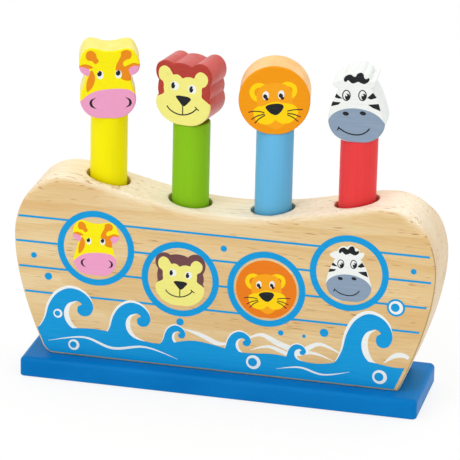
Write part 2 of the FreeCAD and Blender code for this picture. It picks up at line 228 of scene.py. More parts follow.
def sanded_pine():
    """Pine plank, sanded, with a satin water lacquer.

    Its growth rings are cylinders round a pith line that runs along the plank, so the front shows long
    bowed stripes and the ends show arcs. Short dark dashes, which come in flocks, are the resin canals. Faces
    that look away from the front, such as the top and the routed edges, are painted paler, with fainter
    rings:
    that is painted sheen, where light glances off the lacquer, and the faces that look to the front keep a
    deeper yellow. The ends are painted a little greyer: partly end grain, which drank more lacquer, and
    partly painted shade on the sides. Fibres and canals are drawn several times coarser than they are, so
    that they show.
    """
    material, tree, shader, place = new_finish("sanded_pine")
    # The pith line lies behind the plank and closes in on it only slowly from one end to the other.
    pith = (0.0, 74 * MM, 60 * MM)
    pith_slant = 0.10
    ring_width = 5.5 * MM
    ring_wander = 7 * MM
    # A face is routed up to the first of these shares of looking to the front, and sawn from the second.
    routed, sawn = 0.45, 0.97

    from_pith = add_node(tree, "VectorMath", {0: place, 1: pith}, operation="SUBTRACT")
    across = add_node(tree, "VectorMath", {0: from_pith, 1: (pith_slant, 1.0, 1.0)}, operation="MULTIPLY")
    radius = add_node(tree, "VectorMath", {0: across}, operation="LENGTH")
    wander_place = add_node(tree, "Mapping", {"Vector": place, "Scale": features(150, 30, 30)})
    wander = add_node(tree, "TexNoise", {"Vector": wander_place, "Scale": 1.0, "Detail": 3.0})
    bowed = add_node(tree, "Math", {0: wander, 1: ring_wander, 2: radius.outputs["Value"]},
                     operation="MULTIPLY_ADD")
    rings = add_node(tree, "Math", {0: bowed, 1: ring_width}, operation="DIVIDE")
    season = add_node(tree, "Math", {0: rings}, operation="FRACT")

    normal = add_node(tree, "NewGeometry", {}).outputs["Normal"]
    faces = add_node(tree, "SeparateXYZ", {0: normal})
    faced = add_node(tree, "Math", {0: faces.outputs["Y"]}, operation="ABSOLUTE")
    # Painted sheen also makes the rings fainter on faces that look away from the front.
    ring_strength = add_node(tree, "MapRange", {"Value": faced, "From Min": routed, "From Max": sawn,
                                                "To Min": 0.66, "To Max": 1.0})
    shown_season = add_node(tree, "Math", {0: season, 1: ring_strength}, operation="MULTIPLY")
    late_wood = add_node(tree, "ValToRGB", {"Fac": shown_season},
                         stops=((0.0, "FFFFFF"), (0.55, "FDFAF5"), (0.88, "F7EDDD"), (1.0, "FCF7EE")))
    # Painted sheen: faces that look away from the front are painted paler than those that look to it.
    wood_colour_and_sheen = add_node(tree, "ValToRGB", {"Fac": faced}, stops=((routed, "FCF4E0"), (sawn, "E8D1A3")))
    # The ends are painted greyer: partly end grain that drank more lacquer, partly painted shade on the
    # sides.
    endwise = add_node(tree, "Math", {0: faces.outputs["X"]}, operation="ABSOLUTE")
    end_grain_and_shade = add_node(tree, "ValToRGB", {"Fac": endwise}, stops=((0.3, "FFFFFF"), (0.95, "EEE6DC")))

    patch_place = add_node(tree, "Mapping", {"Vector": place, "Scale": features(90, 30, 22)})
    patches = add_node(tree, "TexNoise", {"Vector": patch_place, "Scale": 1.0, "Detail": 2.0})
    patch_tint = add_node(tree, "ValToRGB", {"Fac": patches}, stops=((0.35, "FAF1E4"), (0.65, "FFFFFF")))
    fibre_place = add_node(tree, "Mapping", {"Vector": place, "Scale": features(24, 0.8, 0.8)})
    fibres = add_node(tree, "TexNoise", {"Vector": fibre_place, "Scale": 1.0, "Detail": 4.0,
                                         "Roughness": 0.6})
    fibre_tint = add_node(tree, "ValToRGB", {"Fac": fibres}, stops=((0.40, "FFFFFF"), (0.72, "F4E9DA")))
    canal_place = add_node(tree, "Mapping", {"Vector": place, "Scale": features(12, 1.0, 0.9)})
    canals = add_node(tree, "TexNoise", {"Vector": canal_place, "Scale": 1.0, "Detail": 1.0})
    flock_place = add_node(tree, "Mapping", {"Vector": place, "Scale": features(50, 12, 9)})
    flocks = add_node(tree, "TexNoise", {"Vector": flock_place, "Scale": 1.0, "Detail": 1.0})
    flocked_canals = add_node(tree, "Math", {0: flocks, 1: 0.4, 2: canals}, operation="MULTIPLY_ADD")
    canal_tint = add_node(tree, "ValToRGB", {"Fac": flocked_canals},
                          stops=((0.87, "FFFFFF"), (0.985, "C4986E")))

    wood = wood_colour_and_sheen
    for tint in (end_grain_and_shade, late_wood, patch_tint, fibre_tint, canal_tint):
        wood = add_node(tree, "VectorMath", {0: wood, 1: tint}, operation="MULTIPLY")
    roughness = add_node(tree, "MapRange", {"Value": fibres, **NOISE_SPAN, "To Min": 0.42, "To Max": 0.56})
    raised_grain = add_node(tree, "Bump", {"Height": fibres, "Distance": 0.05 * MM, "Strength": 0.4})
    fill_inputs(tree, shader, {"Base Color": wood, "Roughness": roughness, "Normal": raised_grain,
                               "IOR": 1.5, "Specular IOR Level": 0.22})
    return material


def sprayed_lacquer():
    """Sprayed blue lacquer on the sanded board: a smooth hard skin with orange peel, thinner in clouds."""
    material, tree, shader, place = new_finish("sprayed_blue_lacquer")
    cloud_place = add_node(tree, "Mapping", {"Vector": place, "Scale": features(36, 18, 18)})
    clouds = add_node(tree, "TexNoise", {"Vector": cloud_place, "Scale": 1.0, "Detail": 3.0})
    colour = add_node(tree, "ValToRGB", {"Fac": clouds},
                      stops=((NOISE_LOW, "0072BA"), (NOISE_HIGH, "067BC4")))
    roughness = add_node(tree, "MapRange", {"Value": clouds, **NOISE_SPAN, "To Min": 0.30, "To Max": 0.40})
    peel_place = add_node(tree, "Mapping", {"Vector": place, "Scale": features(1.5, 1.5, 1.5)})
    peel = add_node(tree, "TexNoise", {"Vector": peel_place, "Scale": 1.0, "Detail": 2.0})
    orange_peel = add_node(tree, "Bump", {"Height": peel, "Distance": 0.03 * MM, "Strength": 0.35})
    fill_inputs(tree, shader, {"Base Color": colour, "Roughness": roughness, "Normal": orange_peel,
                               "IOR": 1.5, "Specular IOR Level": 0.05})
    return material


def dipped_paint(name, colour, thin_colour):
    """Satin paint that a turned dowel was dipped in: the grain runs up the peg and just shows through.

    The grain is drawn coarser than it is, so that it shows.
    """
    material, tree, shader, place = new_finish(name)
    grain_place = add_node(tree, "Mapping", {"Vector": place, "Scale": features(1.4, 1.4, 36)})
    grain = add_node(tree, "TexNoise", {"Vector": grain_place, "Scale": 1.0, "Detail": 3.0})
    colour_along = add_node(tree, "ValToRGB", {"Fac": grain}, stops=((0.40, colour), (0.75, thin_colour)))
    cloud_place = add_node(tree, "Mapping", {"Vector": place, "Scale": features(14, 14, 35)})
    clouds = add_node(tree, "TexNoise", {"Vector": cloud_place, "Scale": 1.0, "Detail": 2.0})
    cloud_tint = add_node(tree, "ValToRGB", {"Fac": clouds},
                          stops=((NOISE_LOW, "F8F8F8"), (NOISE_HIGH, "FFFFFF")))
    paint = add_node(tree, "VectorMath", {0: colour_along, 1: cloud_tint}, operation="MULTIPLY")
    roughness = add_node(tree, "MapRange", {"Value": grain, **NOISE_SPAN, "To Min": 0.32, "To Max": 0.44})
    raised_grain = add_node(tree, "Bump", {"Height": grain, "Distance": 0.02 * MM, "Strength": 0.04})
    fill_inputs(tree, shader, {"Base Color": paint, "Roughness": roughness, "Normal": raised_grain,
                               "IOR": 1.5, "Specular IOR Level": 0.08})
    return material


def stained_edge(name, colour, thick_colour, lacquer):
    """Stain under clear lacquer on a head's sawn edge: saw marks cross it and take the stain darker."""
    material, tree, shader, place = new_finish(name)
    cloud_place = add_node(tree, "Mapping", {"Vector": place, "Scale": features(9, 14, 9)})
    clouds = add_node(tree, "TexNoise", {"Vector": cloud_place, "Scale": 1.0, "Detail": 3.0})
    stain = add_node(tree, "ValToRGB", {"Fac": clouds}, stops=((0.32, colour), (0.68, thick_colour)))
    mark_place = add_node(tree, "Mapping", {"Vector": place, "Scale": features(1.2, 10, 1.2)})
    saw_marks = add_node(tree, "TexNoise", {"Vector": mark_place, "Scale": 1.0, "Detail": 2.0})
    mark_tint = add_node(tree, "ValToRGB", {"Fac": saw_marks}, stops=((0.5, "FFFFFF"), (0.8, "F4F4F4")))
    colour_across = add_node(tree, "VectorMath", {0: stain, 1: mark_tint}, operation="MULTIPLY")
    roughness = add_node(tree, "MapRange", {"Value": clouds, **NOISE_SPAN, "To Min": 0.34, "To Max": 0.48})
    sawn = add_node(tree, "Bump", {"Height": saw_marks, "Distance": 0.06 * MM, "Strength": 0.4})
    fill_inputs(tree, shader, {"Base Color": colour_across, "Roughness": roughness, "Normal": sawn,
                               "IOR": 1.5, "Specular IOR Level": 0.2,
                               "Coat Weight": lacquer, "Coat Roughness": 0.3, "Coat IOR": 1.5})
    return material


def screen_printed_ink(name, colour, thin_colour):
    """Screen-printed ink: an even satin film, a touch thinner where the wood's grain stands up under it.

    The grain is drawn coarser than it is, so that it shows.
    """
    material, tree, shader, place = new_finish(name)
    grain_place = add_node(tree, "Mapping", {"Vector": place, "Scale": features(22, 1.0, 1.0)})
    grain = add_node(tree, "TexNoise", {"Vector": grain_place, "Scale": 1.0, "Detail": 3.0})
    film = add_node(tree, "ValToRGB", {"Fac": grain}, stops=((0.50, colour), (0.80, thin_colour)))
    roughness = add_node(tree, "MapRange", {"Value": grain, **NOISE_SPAN, "To Min": 0.40, "To Max": 0.50})
    raised_grain = add_node(tree, "Bump", {"Height": grain, "Distance": 0.02 * MM, "Strength": 0.3})
    fill_inputs(tree, shader, {"Base Color": film, "Roughness": roughness, "Normal": raised_grain,
                               "IOR": 1.48, "Specular IOR Level": 0.15})
    return material


def turned_beech():
    """Beech pin, turned and left raw: pale pink-brown with short dark flecks along it."""
    material, tree, shader, place = new_finish("turned_beech")
    fleck_place = add_node(tree, "Mapping", {"Vector": place, "Scale": features(0.7, 0.7, 4)})
    flecks = add_node(tree, "TexNoise", {"Vector": fleck_place, "Scale": 1.0, "Detail": 2.0})
    colour = add_node(tree, "ValToRGB", {"Fac": flecks}, stops=((0.55, "DDBB92"), (0.7, "B58A60")))
    raised_grain = add_node(tree, "Bump", {"Height": flecks, "Distance": 0.05 * MM, "Strength": 0.4})
    fill_inputs(tree, shader, {"Base Color": colour, "Roughness": 0.62, "Normal": raised_grain, "IOR": 1.5})
    return material


def moulded_nylon():
    """Moulded natural nylon: milky and a little waxy, with the mould's grit.

    The grit is drawn coarser than it is, so that it shows.
    """
    material, tree, shader, place = new_finish("moulded_nylon")
    grit_place = add_node(tree, "Mapping", {"Vector": place, "Scale": features(0.6, 0.6, 0.6)})
    grit = add_node(tree, "TexNoise", {"Vector": grit_place, "Scale": 1.0, "Detail": 2.0})
    colour = add_node(tree, "ValToRGB", {"Fac": grit},
                      stops=((NOISE_LOW, "EDE9DC"), (NOISE_HIGH, "E0DAC8")))
    moulded = add_node(tree, "Bump", {"Height": grit, "Distance": 0.02 * MM, "Strength": 0.3})
    fill_inputs(tree, shader, {"Base Color": colour, "Roughness": 0.42, "Normal": moulded, "IOR": 1.53,
                               "Subsurface Weight": 0.15,
                               "Subsurface Radius": (1.0 * MM, 1.0 * MM, 0.8 * MM)})
    return material


def zinc_plated_steel(name, colour, dark_colour, roughness):
    """Steel, drawn or rolled and then zinc plated: bright grey metal with faint streaks.

    The streaks are drawn coarser than they are, so that they show.
    """
    material, tree, shader, place = new_finish(name)
    streak_place = add_node(tree, "Mapping", {"Vector": place, "Scale": features(0.5, 0.5, 1.5)})
    streaks = add_node(tree, "TexNoise", {"Vector": streak_place, "Scale": 1.0, "Detail": 3.0})
    plating = add_node(tree, "ValToRGB", {"Fac": streaks},
                       stops=((NOISE_LOW, colour), (NOISE_HIGH, dark_colour)))
    worn = add_node(tree, "MapRange",
                    {"Value": streaks, **NOISE_SPAN, "To Min": roughness - 0.06, "To Max": roughness + 0.08})
    fill_inputs(tree, shader, {"Base Color": plating, "Metallic": 1.0, "Roughness": worn})
    return material


# Each ink: the record's slot, its colour, and its colour where it is thin.
INKS = {
    "blue": ("print_blue", "0497D6", "209EDA"),
    "white": ("print_white", "EDF0EC", "E4E6E0"),
    "black": ("print_black", "1E2022", "303234"),
    "grey": ("print_grey", "889BB0", "94A6BA"),
    "yellow": ("print_yellow", "F8EA00", "F2E010"),
    "cream": ("print_cream", "EEE882", "EAE076"),
    "orange": ("print_orange", "E98A10", "E69226"),
    "deep_orange": ("print_orange", "E87A10", "E6842A"),
    "pink": ("print_pink", "EB9CC3", "EAA6C9"),
    "red_brown": ("print_brown", "B03C32", "B6483C"),
    "brown": ("print_brown", "6E4648", "7A5452"),
    "mane": ("print_orange", "F09600", "EE9E16"),
    "amber": ("print_amber", "F5A210", "F3AA26"),
    "gold": ("print_gold", "FCD200", "F8D016"),
    "edge": ("print_brown", "A98F66", "B89E74"),
}

# Each head's stain: its colour, its colour where it is thick, and how full the clear lacquer over it is.
# The giraffe's and the lion's colours are partly their stain and partly painted sheen, which makes them paler
# than their prints.
STAINS_AND_SHEEN = {
    "giraffe": ("F3E67C", "EEDE60", 0.0),
    "monkey": ("CA443A", "BC362A", 0.45),
    "lion": ("F8CB86", "F5BA6E", 0.0),
    "zebra": ("EDF0ED", "E8ECE9", 0.0),
}

# Each peg's paint: its colour, and its colour where it is thin.
PAINTS = {
    "giraffe": ("F7EB00", "F5E900"),
    "monkey": ("88C21A", "85BF18"),
    "lion": ("67B8E4", "64B5E1"),
    "zebra": ("EB4244", "E83F41"),
}


def finish_nodes(nodes):
    """Gives every part of the frame that shows its finish."""
    finishes = {
        "hull": sanded_pine(),
        "base_board": sprayed_lacquer(),
        "base_screws": zinc_plated_steel("zinc_plated_screw", "BFC1C4", "9DA0A5", 0.34),
        "locating_pins": turned_beech(),
    }
    nylon = moulded_nylon()
    for animal in ANIMALS:
        finishes[f"{animal}_head"] = stained_edge(f"{animal}_stained_edge", *STAINS_AND_SHEEN[animal])
        finishes[f"{animal}_peg"] = dipped_paint(f"{animal}_dipped_paint", *PAINTS[animal])
        finishes[f"{animal}_head_pin"] = finishes["locating_pins"]
        finishes[f"{animal}_collar"] = nylon
        finishes[f"{animal}_collar_screw"] = finishes["base_screws"]
    for name, finish in finishes.items():
        nodes[name].data.materials.clear()
        nodes[name].data.materials.append(finish)


# ---- outlines in a print, in millimetres

def smooth(points, closed=True, steps=6):
    """A smooth line through a few points, as short straight runs."""
    points = [Vector(point) for point in points]
    count = len(points)

    def pick(i):
        return points[i % count] if closed else points[min(max(i, 0), count - 1)]

    line = []
    for i in range(count if closed else count - 1):
        before, start, end, after = (pick(i + k) for k in (-1, 0, 1, 2))
        for step in range(steps):
            t = step / steps
            line.append(0.5 * (2 * start + (end - before) * t
                               + (2 * before - 5 * start + 4 * end - after) * t ** 2
                               + (3 * start - before - 3 * end + after) * t ** 3))
    return line if closed else line + [points[-1]]


def oval(centre, width, height, tilt=0.0, corners=28):
    """An oval, tilted by some degrees."""
    turn = Matrix.Rotation(math.radians(tilt), 2)
    angles = [2 * math.pi * i / corners for i in range(corners)]
    return [Vector(centre) + turn @ Vector((width / 2 * math.cos(angle), height / 2 * math.sin(angle)))
            for angle in angles]


def disc(centre, radius, corners=32):
    """A full circle."""
    return oval(centre, 2 * radius, 2 * radius, corners=corners)


def stroke(points, width, pointed=False):
    """A pen stroke along a smooth line, which may run out to points."""
    line = smooth(points, closed=False)
    left, right = [], []
    last = len(line) - 1
    for i, point in enumerate(line):
        along = (line[min(i + 1, last)] - line[max(i - 1, 0)]).normalized()
        swell = max(math.sin(math.pi * i / last), POINTED_END) if pointed else 1.0
        aside = Vector((-along.y, along.x)) * swell * width / 2
        left.append(point + aside)
        right.append(point - aside)
    return left + right[::-1]


def below(points):
    """Everything under a smooth line."""
    line = smooth(points, closed=False)
    down = Vector((0, WELL_BELOW))
    return line + [line[-1] - down, line[0] - down]


def band(centre, radius, width, steps=24):
    """A ring, as two halves."""
    halves = []
    for start in (0, math.pi):
        angles = [start + math.pi * i / steps for i in range(steps + 1)]
        spokes = [Vector((math.cos(angle), math.sin(angle))) for angle in angles]
        outer = [Vector(centre) + radius * spoke for spoke in spokes]
        inner = [Vector(centre) + (radius - width) * spoke for spoke in spokes]
        halves.append(outer + inner[::-1])
    return halves


def inset(loop, distance):
    """A loop that turns counter-clockwise, moved inwards."""
    moved = []
    for i, point in enumerate(loop):
        along = (loop[(i + 1) % len(loop)] - loop[i - 1]).normalized()
        moved.append(point + Vector((-along.y, along.x)) * distance)
    return moved


def counter_clockwise(loop):
    """The loop, turned round where it runs clockwise."""
    area = sum(a.x * b.y - b.x * a.y for a, b in zip(loop, loop[1:] + loop[:1]))
    return loop if area > 0 else loop[::-1]


def resized(patches, scale, centre, within):
    """A drawing made smaller or larger about its origin, moved, and kept inside an outline."""
    def moved(loop):
        return [Vector(point) * scale + Vector(centre) for point in loop]
    return [Patch(patch.ink, moved(patch.outline), within) for patch in patches]


def eye(white, pupil, white_size, pupil_size, tilt, glint, glint_radius):
    """An eye: its white, its tilted pupil, and a glint that is placed from the pupil's middle."""
    glint_place = (pupil[0] + glint[0], pupil[1] + glint[1])
    return [Patch("white", oval(white, *white_size)), Patch("black", oval(pupil, *pupil_size, tilt)),
            Patch("white", disc(glint_place, glint_radius))]


# ---- faces, across from the peg and up

def giraffe_face():
    """Yellow, with a pink muzzle and ears, and orange patches."""
    ears = (
        [(-20, 31.8), (-16.2, 31.9), (-12.8, 30.8), (-11.8, 28.8), (-13.2, 26), (-20, 24)],
        [(19, 33), (15, 33.4), (11.5, 32.2), (10.5, 30.2), (12.1, 26.6), (19, 25)],
    )
    marks = (
        [(-19, 31.2), (-15.6, 33.2), (-12, 32.7), (-10, 31.2), (-13, 30.5), (-16.2, 31.6)],
        [(18.4, 32.6), (14, 34.4), (10.7, 33.2), (8.5, 31.8), (10.1, 30), (13.1, 32.4)],
        [(-13.6, 40.6), (-14.3, 37.6), (-13, 35.5), (-10.8, 35.3), (-8.7, 33.5), (-6.6, 35.2),
         (-7.8, 37.2), (-8.6, 39.8), (-11.1, 41.6)],
        [(-11, 29.6), (-9.2, 27.2), (-8.8, 23.6), (-10.3, 19.2), (-13.2, 16.4), (-13.8, 20.6),
         (-12.7, 25.4)],
        [(6.1, 38.7), (6.3, 41), (9, 42.2), (11.6, 41.4), (12.4, 39.2), (11.4, 37), (9.1, 36.2),
         (7.5, 34.6), (7.8, 32.6), (9.7, 31.6), (11.5, 28), (12.3, 24), (9.1, 23.6), (6.4, 24.9),
         (6.8, 27), (5.5, 29.6), (3.4, 29.2), (3.4, 32.7), (4.8, 35.8)],
    )
    muzzle = [(-20, 7.8), (-15.2, 12.5), (-11.6, 15.3), (-7.4, 17.1), (-2.8, 18), (3, 18.5), (8.3, 18.4),
              (11.8, 17.7), (14.3, 15.6), (19.3, 9)]
    nostrils = (
        [(-8.2, 12.9), (-10.6, 11.2), (-11.1, 9.2), (-10.1, 7.4), (-7.9, 6.1)],
        [(9, 13.5), (11.4, 11.9), (12, 10.1), (11.4, 8.5), (9.2, 7.1)],
    )
    face = [Patch("pink", smooth(ear)) for ear in ears]
    face += [Patch("orange", smooth(mark)) for mark in marks]
    face.append(Patch("pink", below(muzzle)))
    face += [Patch("black", stroke(nostril, NOSTRIL_WIDTH, pointed=True)) for nostril in nostrils]
    for white, pupil in (((-5.8, 26.8), (-6.2, 27.6)), ((4.8, 27.4), (4.6, 28.2))):
        face += eye(white, pupil, white_size=(3.9, 5.1), pupil_size=(2.7, 3.4), tilt=-12,
                    glint=(-0.8, 1.1), glint_radius=0.35)
    return face


def monkey_face():
    """A cream mask with its own small ears, which reaches the jaw's edge, with a dark nose and a smile."""
    mask = [(-16.6, 30.2), (-15.9, 33.2), (-13.2, 35.2), (-10.2, 34.3), (-8.4, 32), (-7.3, 30.5),
            (-4.9, 30.9), (-2.8, 30.1), (-1.4, 29), (0.7, 29.9), (3.5, 30.3), (5.9, 30), (6.9, 32.2),
            (9.2, 34.2), (12, 33.9), (14.3, 31.8), (14.5, 28.7), (13, 26), (11, 24.7), (10.9, 21.6),
            (11.1, 18.8), (14.8, 16.2), (17.8, 12.5), (15.8, 4.4), (7, -1.2), (-1.4, -2), (-9.6, -0.6),
            (-17.2, 4.5), (-20.2, 11.5), (-17.6, 15.7), (-13.3, 18.4), (-13.3, 21.8), (-13.5, 25),
            (-15.9, 27.2)]
    nose = [(-5.4, 17.2), (-4.2, 18.2), (-0.3, 18.3), (2.8, 18), (4.1, 16.8), (2.3, 14.4), (0.4, 12.5),
            (-1.2, 12.3), (-3, 14.2)]
    lip = [(-1, 12.6), (-1, 9.8), (-1, 7)]
    smile = [(-11.1, 11), (-9.1, 8.9), (-5.9, 7.3), (-2.2, 6.7), (1.7, 7.4), (5.4, 9.4), (7.9, 11.9)]
    dimple = [(6.6, 12.9), (8, 11.7), (9.3, 10.8)]
    face = [Patch("cream", smooth(mask))]
    for white, pupil in (((-6.3, 23.9), (-7.3, 23.9)), ((4.8, 23.2), (4.2, 23.1))):
        face += eye(white, pupil, white_size=(5.2, 5.4), pupil_size=(2.5, 4), tilt=-8,
                    glint=(1, 0.9), glint_radius=0.4)
    face.append(Patch("black", smooth(nose)))
    creases = ((lip, CREASE_WIDTH), (smile, SMILE_WIDTH), (dimple, CREASE_WIDTH))
    face += [Patch("black", stroke(line, width)) for line, width in creases]
    return face


def lion_face():
    """A mane disc with an amber face, golden muzzle and ears, and whiskers."""
    left_ear = [(-10.4, 20.9), (-12.9, 22.8), (-13.8, 26), (-12.2, 28.9), (-9.4, 29.8), (-6.8, 29)]
    right_ear = [(3.5, 30.1), (6.6, 31.2), (9.7, 30.2), (10.9, 27.8), (10, 24.8), (7.6, 23)]
    brow = [(-10.9, 21), (-10.7, 26), (-7.7, 29.6), (-1.7, 31.6), (4.6, 31), (8.6, 27.6), (9.4, 22.6),
            (9, 18), (0.3, 14), (-9.3, 16.6)]
    chin = [(-5.1, 7.4), (-3.1, 4.8), (0.6, 3.4), (4.2, 5), (5.8, 8), (0.3, 11)]
    cheeks = [(-12.7, 14.2), (-10.6, 16.6), (-6.7, 17.6), (-4.1, 19), (-0.1, 20.2), (4.4, 19.6),
              (8, 19.4), (11.3, 18.2), (13.1, 15.1), (12.2, 11.2), (8.9, 8), (4.6, 7), (2.2, 7.8),
              (0.2, 9), (-1.7, 7.2), (-4.9, 6.1), (-8.7, 6.8), (-11.5, 9.2)]
    nose = [(-5.7, 16.4), (-4.6, 17.9), (-0.8, 19), (3, 19), (4.7, 17.7), (4.1, 15.6), (2.5, 13.4),
            (0.3, 12.1), (-2.4, 12.9), (-4.4, 14.6)]
    whiskers = (
        [(-15.6, 13.2), (-12.8, 13.9), (-8.8, 13.9), (-6.4, 13.3)],
        [(-13.7, 8.9), (-10.4, 11.1), (-6.1, 12.5)],
        [(-11.8, 6.6), (-9.2, 9.5), (-5.8, 11.8)],
        [(6.9, 14.8), (10.8, 15.8), (15.8, 16.1)],
        [(6.9, 13.5), (10.8, 13), (14.8, 11.5)],
        [(6.9, 12.6), (10.3, 11.1), (13.5, 8.7)],
    )
    # Each eye: the middle of its white, and the ends of its pupil, which bows to the left.
    eyes = (((-5.8, 23.7), (-6.4, 24.6), (-5.1, 21.7)), ((3.1, 24.6), (2.6, 25.5), (3.9, 22.5)))
    bow = 0.3

    face = [Patch("gold", stroke(ear, EAR_WIDTH)) for ear in (left_ear, right_ear)]
    face += [Patch("amber", smooth(brow)), Patch("amber", smooth(chin)), Patch("gold", smooth(cheeks))]
    for white, top, foot in eyes:
        middle = ((top[0] + foot[0]) / 2 - bow, (top[1] + foot[1]) / 2)
        face += [Patch("white", oval(white, 3.7, 5.3, -6)),
                 Patch("black", stroke([top, middle, foot], PUPIL_WIDTH, pointed=True)),
                 Patch("black", disc(foot, 0.95))]
    face.append(Patch("black", smooth(nose)))
    face += [Patch("black", stroke(whisker, WHISKER_WIDTH)) for whisker in whiskers]
    return face


def zebra_face():
    """White, with a grey muzzle, a black mane, and two stripes on each cheek."""
    mane = [(-8.6, 36.5), (-8.9, 38.4), (-7.4, 40.3), (-5.1, 41), (-3.7, 40.1), (-2.3, 39.9),
            (-1.2, 41.7), (0.7, 42.5), (2.2, 41.5), (2.7, 39.6), (3.8, 38.9), (5.2, 39.6), (5.7, 38.3),
            (4.7, 36.8), (2.8, 35.8), (1, 36.2), (-0.7, 36.9), (-2.2, 36.2), (-4, 35.7), (-5.5, 36.6),
            (-6.5, 37.5), (-7.4, 36.6)]
    stripes = (
        [(-14.2, 26.7), (-12.9, 28.9), (-9.3, 26.2), (-11.8, 26.1)],
        [(-16.3, 21), (-15.3, 24), (-10.3, 23.9), (-11.6, 22.4)],
        [(4.8, 27.6), (8.1, 31), (10.2, 28), (7, 26.8)],
        [(5.4, 23.6), (11.5, 24.5), (12.8, 20.2), (8.1, 21.9)],
    )
    nostrils = ((-7.2, 17.3), (2.7, 18.2))
    smile = [(-11, 8.5), (-7.5, 6.3), (-4.4, 5.3), (-1, 4.9), (2.4, 5.5), (5.3, 7.3), (6.9, 9.3)]
    dimple = [(-11.8, 6.8), (-11.3, 7.8), (-10.9, 9.2)]
    face = [Patch("black", smooth(mane))]
    face += [Patch("black", stripe) for stripe in stripes]
    face.append(Patch("grey", oval((-0.7, 10.4), 33.4, 20.9, -3, corners=48)))
    for white, pupil in (((-7.2, 28.3), (-6.6, 27.4)), ((2.1, 28.9), (2.8, 28.1))):
        face.append(Patch("black", oval(white, 5, 6.8)))
        face += eye(white, pupil, white_size=(3.7, 5.5), pupil_size=(2.8, 4), tilt=0,
                    glint=(-0.6, 1), glint_radius=0.55)
    face += [Patch("black", oval(nostril, 3.7, 2.4, -8)) for nostril in nostrils]
    face += [Patch("black", stroke(smile, SMILE_WIDTH)), Patch("black", stroke(dimple, CREASE_WIDTH))]
    return face


FACES = {"giraffe": giraffe_face, "monkey": monkey_face, "lion": lion_face, "zebra": zebra_face}
HEAD_GROUND = {"giraffe": "yellow", "monkey": "red_brown", "lion": "mane", "zebra": "white"}
PORTHOLE_GROUND = {"giraffe": "yellow", "monkey": "brown", "lion": "deep_orange", "zebra": "white"}


# ---- the picture on the hull

# A breaking wave, one wide and one high, that rolls towards +X: its outline, its back and its hollow.
BREAKER = [(-0.30, -0.02), (-0.12, 0.08), (0.00, 0.30), (0.08, 0.60), (0.23, 0.85), (0.46, 0.99),
           (0.70, 0.96), (0.88, 0.82), (0.96, 0.63), (0.90, 0.46), (0.77, 0.41), (0.66, 0.47),
           (0.65, 0.60), (0.73, 0.67), (0.62, 0.73), (0.49, 0.66), (0.42, 0.52), (0.43, 0.35),
           (0.53, 0.18), (0.72, 0.07), (1.05, 0.00), (1.05, -0.20), (-0.30, -0.20)]
BACK = BREAKER[1:9]
HOLLOW = [(0.63, 0.72), (0.49, 0.64), (0.43, 0.47), (0.47, 0.28), (0.60, 0.13), (0.86, 0.03)]
# The white strokes along the back and the hollow are this wide for each millimetre of the wave's height.
BACK_STROKE = 0.12
HOLLOW_STROKE = 0.11

# Each breaker: where it starts, its foot, its width and its height.
BREAKERS = [(-108, 26, 31, 29), (-68, 25, 26, 25), (-35, 25, 14, 13.5),
            (3, 24, 16, 15), (40, 24, 12, 11), (73, 24, 31, 35)]
WATER_TOP = [(-130, 29), (-108, 27.5), (-76, 30.5), (-40, 25.5), (-16, 30), (12, 26), (34, 27), (58, 24),
             (84, 29), (108, 27), (130, 33)]
# White water: each ribbon's width and the line that it follows.
RIBBONS = [(3, [(-23, 37), (-12, 34), (-2, 30), (6, 31)]),
           (3.6, [(13, 33), (24, 38.5), (35, 34), (48, 31), (60, 36.5), (76, 30)]),
           (2.6, [(18, 28), (29, 31.5), (42, 28), (55, 30.5), (68, 27)]),
           (3.2, [(98, 29), (104, 34), (110, 35), (117, 31)])]
SWELLS = [(1.6, [(-106, 20), (-84, 24.5), (-66, 19.5), (-46, 22.5), (-26, 17)]),
          (1.2, [(34, 18), (48, 20.5), (62, 17.5), (78, 21)])]
# Each bubble and each drop: its place and its radius.
BUBBLES = [(-90, 19, 3.4), (-100, 38, 2.8), (20, 20.5, 4.4), (96, 20, 4.4), (104, 64.5, 4.2)]
DROPS = [(-115, 73.5, 1.8), (-106, 61, 2.3), (0.5, 90, 1.9), (-25, 41, 2.3),
         (62, 44, 2.6), (36, 41, 1.7), (113.5, 88, 1.7), (50, 40.5, 1.1)]
# Shares of a bubble's radius: the blue rim round it, the blue in its middle, and how far left that lies.
BUBBLE_RIM = 1.3
BUBBLE_CORE = 0.62
BUBBLE_CORE_SHIFT = 0.1


def breaker(x, z, width, height):
    """One scroll wave, with a white stroke behind its back and another one down its hollow."""
    outline, back, hollow = ([(x + px * width, z + pz * height) for px, pz in points]
                             for points in (BREAKER, BACK, HOLLOW))
    return [Patch("white", stroke(back, BACK_STROKE * height, pointed=True)), Patch("blue", smooth(outline)),
            Patch("white", stroke(hollow, HOLLOW_STROKE * height, pointed=True))]


def bubble(x, z, radius):
    """A white disc in a blue rim, with blue in its middle."""
    core = (x - BUBBLE_CORE_SHIFT * radius, z)
    return [Patch("blue", disc((x, z), BUBBLE_RIM * radius)), Patch("white", disc((x, z), radius)),
            Patch("blue", disc(core, BUBBLE_CORE * radius))]


def wave_band():
    """Scrolling waves over the foot of the hull, with white water, swells, drops and bubbles."""
    patches = [Patch("white", stroke(line, width, pointed=True)) for width, line in RIBBONS]
    for place_and_size in BREAKERS:
        patches += breaker(*place_and_size)
    patches.append(Patch("blue", below(WATER_TOP)))
    patches += [Patch("white", stroke(line, width, pointed=True)) for width, line in SWELLS]
    patches += [Patch("blue", disc((x, z), radius)) for x, z, radius in DROPS]
    for place_and_radius in BUBBLES:
        patches += bubble(*place_and_radius)
    return patches


def planking(edge):
    """Lines along the planks, from the bow's edge to just short of the stern's."""
    patches = []
    for height in PLANK_LINES:
        level = [point.x for point in edge if abs(point.y - height) < PLANK_EDGE_REACH]
        start, end = min(level) - PLANK_LINE_OVERRUN, max(level) - PLANK_LINE_END_GAP
        top, foot = height + PLANK_LINE_WIDTH / 2, height - PLANK_LINE_WIDTH / 2
        patches.append(Patch("blue", [(start, foot), (end, foot), (end, top), (start, top)]))
    return patches


